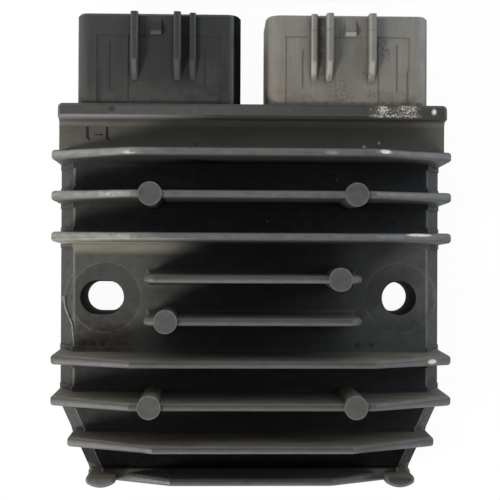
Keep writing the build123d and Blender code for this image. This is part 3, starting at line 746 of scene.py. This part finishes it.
class REGULATOR_OT_flash(bpy.types.Operator):
    """Add the ridge of flash that the mould left beside the slotted boss"""
    bl_idname = "regulator.flash"
    bl_label = "Flash ridge"

    def execute(self, context):
        mesh = bmesh.new()
        low = WEB - 3.0
        for first, second in zip(FLASH_WAY, FLASH_WAY[1:]):
            bar(mesh, first, second, 0.5, low, WEB + 0.3, 0.14)
        x, y = FLASH_WAY[0]
        bar(mesh, (x, y), (x, y + 0.4), 1.0, low, WEB + 0.4, 0.25)
        worn = context.scene.regulator_casting.worn
        paint = simple_material("flash_paint", tinted(worn, 1.4), tinted(worn, 2.8), 0.8, 0.5)
        piece("flash_ridge", mesh, paint)
        return {"FINISHED"}


class REGULATOR_OT_panel_lines(bpy.types.Operator):
    """Add the tool lines on the front of both shells"""
    bl_idname = "regulator.panel_lines"
    bl_label = "Shell lines"

    def execute(self, context):
        look = context.scene.regulator_plastic
        for side, name, tone, share in ((-1, "black", look.black, 0.62), (1, "grey", look.grey, 0.38)):
            mesh = bmesh.new()
            for (first_out, first_y), (last_out, last_y) in SHELL_LINES:
                first = (side * (SHELL_X + first_out), first_y)
                last = (side * (SHELL_X + last_out), last_y)
                bar(mesh, first, last, 0.13, SHELL_TOP - 0.25, SHELL_TOP + 0.02, 0.02)
            shade = simple_material(f"{name}_line", tinted(tone, share), tinted(tone, share + 0.25), 0.7,
                                    0.55)
            piece(f"{name}_shell_lines", mesh, shade)
        return {"FINISHED"}


def sky(world, strength):
    """A sky that is bright low down and dark overhead, as under a camera held over the part."""
    world.use_nodes = True
    tree = world.node_tree
    tree.nodes.clear()
    place = add_node(tree, "ShaderNodeTexCoord").outputs["Generated"]
    axes = add_node(tree, "ShaderNodeSeparateXYZ", {0: place}).outputs
    light = add_node(tree, "ShaderNodeValToRGB", {"Fac": axes["Z"]})
    stops = light.color_ramp.elements
    for position, value in SKY_STOPS:
        stop = stops[0] if position == 0.0 else stops[-1] if position == 1.0 else stops.new(position)
        stop.position = position
        stop.color = (value, value, value, 1)
    height = light.outputs["Color"]
    across = add_node(tree, "ShaderNodeMapRange", {"Value": axes["X"], "From Min": -1.0, "To Min": 0.0})
    tone = add_node(tree, "ShaderNodeMix", {0: across.outputs["Result"], 6: WARM_SIDE, 7: COOL_SIDE},
                    data_type="RGBA")
    graded = add_node(tree, "ShaderNodeMix", {0: 1.0, 6: height, 7: tone.outputs[2]},
                      data_type="RGBA", blend_type="MULTIPLY")
    lit = add_node(tree, "ShaderNodeBackground",
                   {"Color": graded.outputs[2], "Strength": strength * SKY_GAIN})
    mirrored = add_node(tree, "ShaderNodeBackground", {"Color": height})
    plain = add_node(tree, "ShaderNodeBackground", {"Color": WHITE})
    rays = add_node(tree, "ShaderNodeLightPath").outputs
    reflected = add_node(tree, "ShaderNodeMath", {0: rays["Is Glossy Ray"], 1: rays["Is Transmission Ray"]},
                         operation="MAXIMUM")
    for_gloss = add_node(tree, "ShaderNodeMixShader",
                         {0: reflected.outputs[0], 1: lit.outputs[0], 2: mirrored.outputs[0]})
    for_camera = add_node(tree, "ShaderNodeMixShader",
                          {0: rays["Is Camera Ray"], 1: for_gloss.outputs[0], 2: plain.outputs[0]})
    add_node(tree, "ShaderNodeOutputWorld", {"Surface": for_camera.outputs[0]})


def floor_material():
    """Plain white that stays white to the camera but still takes the part's shadow."""
    material = bpy.data.materials.new("white_floor")
    material.use_nodes = True
    tree = material.node_tree
    tree.nodes.clear()
    matt = add_node(tree, "ShaderNodeBsdfDiffuse", {"Color": FLOOR_PAINT})
    glow = add_node(tree, "ShaderNodeEmission")
    rays = add_node(tree, "ShaderNodeLightPath").outputs
    seen = rays["Is Camera Ray"]
    for name in ("Is Glossy Ray", "Is Transmission Ray"):
        seen = add_node(tree, "ShaderNodeMath", {0: seen, 1: rays[name]}, operation="MAXIMUM").outputs[0]
    share = add_node(tree, "ShaderNodeMath", {0: seen, 1: FLOOR_GLOW}, operation="MULTIPLY")
    mixed = add_node(tree, "ShaderNodeMixShader",
                     {0: share.outputs[0], 1: matt.outputs[0], 2: glow.outputs[0]})
    add_node(tree, "ShaderNodeOutputMaterial", {"Surface": mixed.outputs[0]})
    return material


def lamp(name, place, power, size, tone):
    """A soft square lamp that looks at the part."""
    data = bpy.data.lights.new(name, "AREA")
    data.energy = power
    data.size = size
    data.color = tone
    made = bpy.data.objects.new(name, data)
    made.location = place
    made.rotation_euler = (-Vector(place)).to_track_quat("-Z", "Y").to_euler()
    bpy.context.scene.collection.objects.link(made)


class REGULATOR_OT_stage(bpy.types.Operator):
    """Set the camera, the white floor and the lights"""
    bl_idname = "regulator.stage"
    bl_label = "Stage"

    def execute(self, context):
        look = context.scene.regulator_stage
        scene = context.scene
        data = bpy.data.cameras.new("camera")
        data.lens = look.lens
        data.sensor_width = 36.0
        data.clip_start = 0.01
        camera = bpy.data.objects.new("camera", data)
        camera.location = [value * MM for value in CAMERA_PLACE]
        camera.rotation_euler = [math.radians(angle) for angle in CAMERA_TILT]
        scene.collection.objects.link(camera)
        scene.camera = camera
        scene.view_settings.view_transform = "Standard"

        mesh = bmesh.new()
        bmesh.ops.create_grid(mesh, x_segments=1, y_segments=1, size=3.0)
        data = bpy.data.meshes.new("floor")
        mesh.to_mesh(data)
        mesh.free()
        data.materials.append(floor_material())
        floor = bpy.data.objects.new("floor", data)
        scene.collection.objects.link(floor)

        if scene.world is None:
            scene.world = bpy.data.worlds.new("sky")
        sky(scene.world, look.sky)
        lamp("key", (-0.38, -0.25, 0.38), look.key, 0.16, (1.0, 0.97, 0.92))
        lamp("fill", (0.45, 0.20, 0.25), look.fill, 0.30, (0.80, 0.90, 1.0))
        return {"FINISHED"}


OPERATORS = (REGULATOR_OT_stage, REGULATOR_OT_casting, REGULATOR_OT_shells, REGULATOR_OT_metals,
             REGULATOR_OT_electronics, REGULATOR_OT_mould_marks, REGULATOR_OT_flash,
             REGULATOR_OT_panel_lines)


class REGULATOR_PT_panel(bpy.types.Panel):
    """Lists the pieces of the regulator"""
    bl_idname = "REGULATOR_PT_panel"
    bl_label = "Voltage regulator"
    bl_space_type = "VIEW_3D"
    bl_region_type = "UI"
    bl_category = "Regulator"

    def draw(self, context):
        for settings in (context.scene.regulator_casting, context.scene.regulator_plastic,
                         context.scene.regulator_stage):
            box = self.layout.box()
            for name in settings.__annotations__:
                box.prop(settings, name)
        for operator in OPERATORS:
            self.layout.operator(operator.bl_idname)


GROUPS = {"regulator_casting": CastingFinish, "regulator_plastic": PlasticFinish,
          "regulator_stage": StageSettings}


def register():
    for group in GROUPS.values():
        bpy.utils.register_class(group)
    for name, group in GROUPS.items():
        setattr(bpy.types.Scene, name, PointerProperty(type=group))
    for kind in (*OPERATORS, REGULATOR_PT_panel):
        bpy.utils.register_class(kind)


def unregister():
    for kind in (REGULATOR_PT_panel, *reversed(OPERATORS)):
        bpy.utils.unregister_class(kind)
    for name, group in GROUPS.items():
        delattr(bpy.types.Scene, name)
        bpy.utils.unregister_class(group)


def main():
    register()
    for operator in OPERATORS:
        group, name = operator.bl_idname.split(".")
        getattr(getattr(bpy.ops, group), name)()


if __name__ == "__main__":
    main()
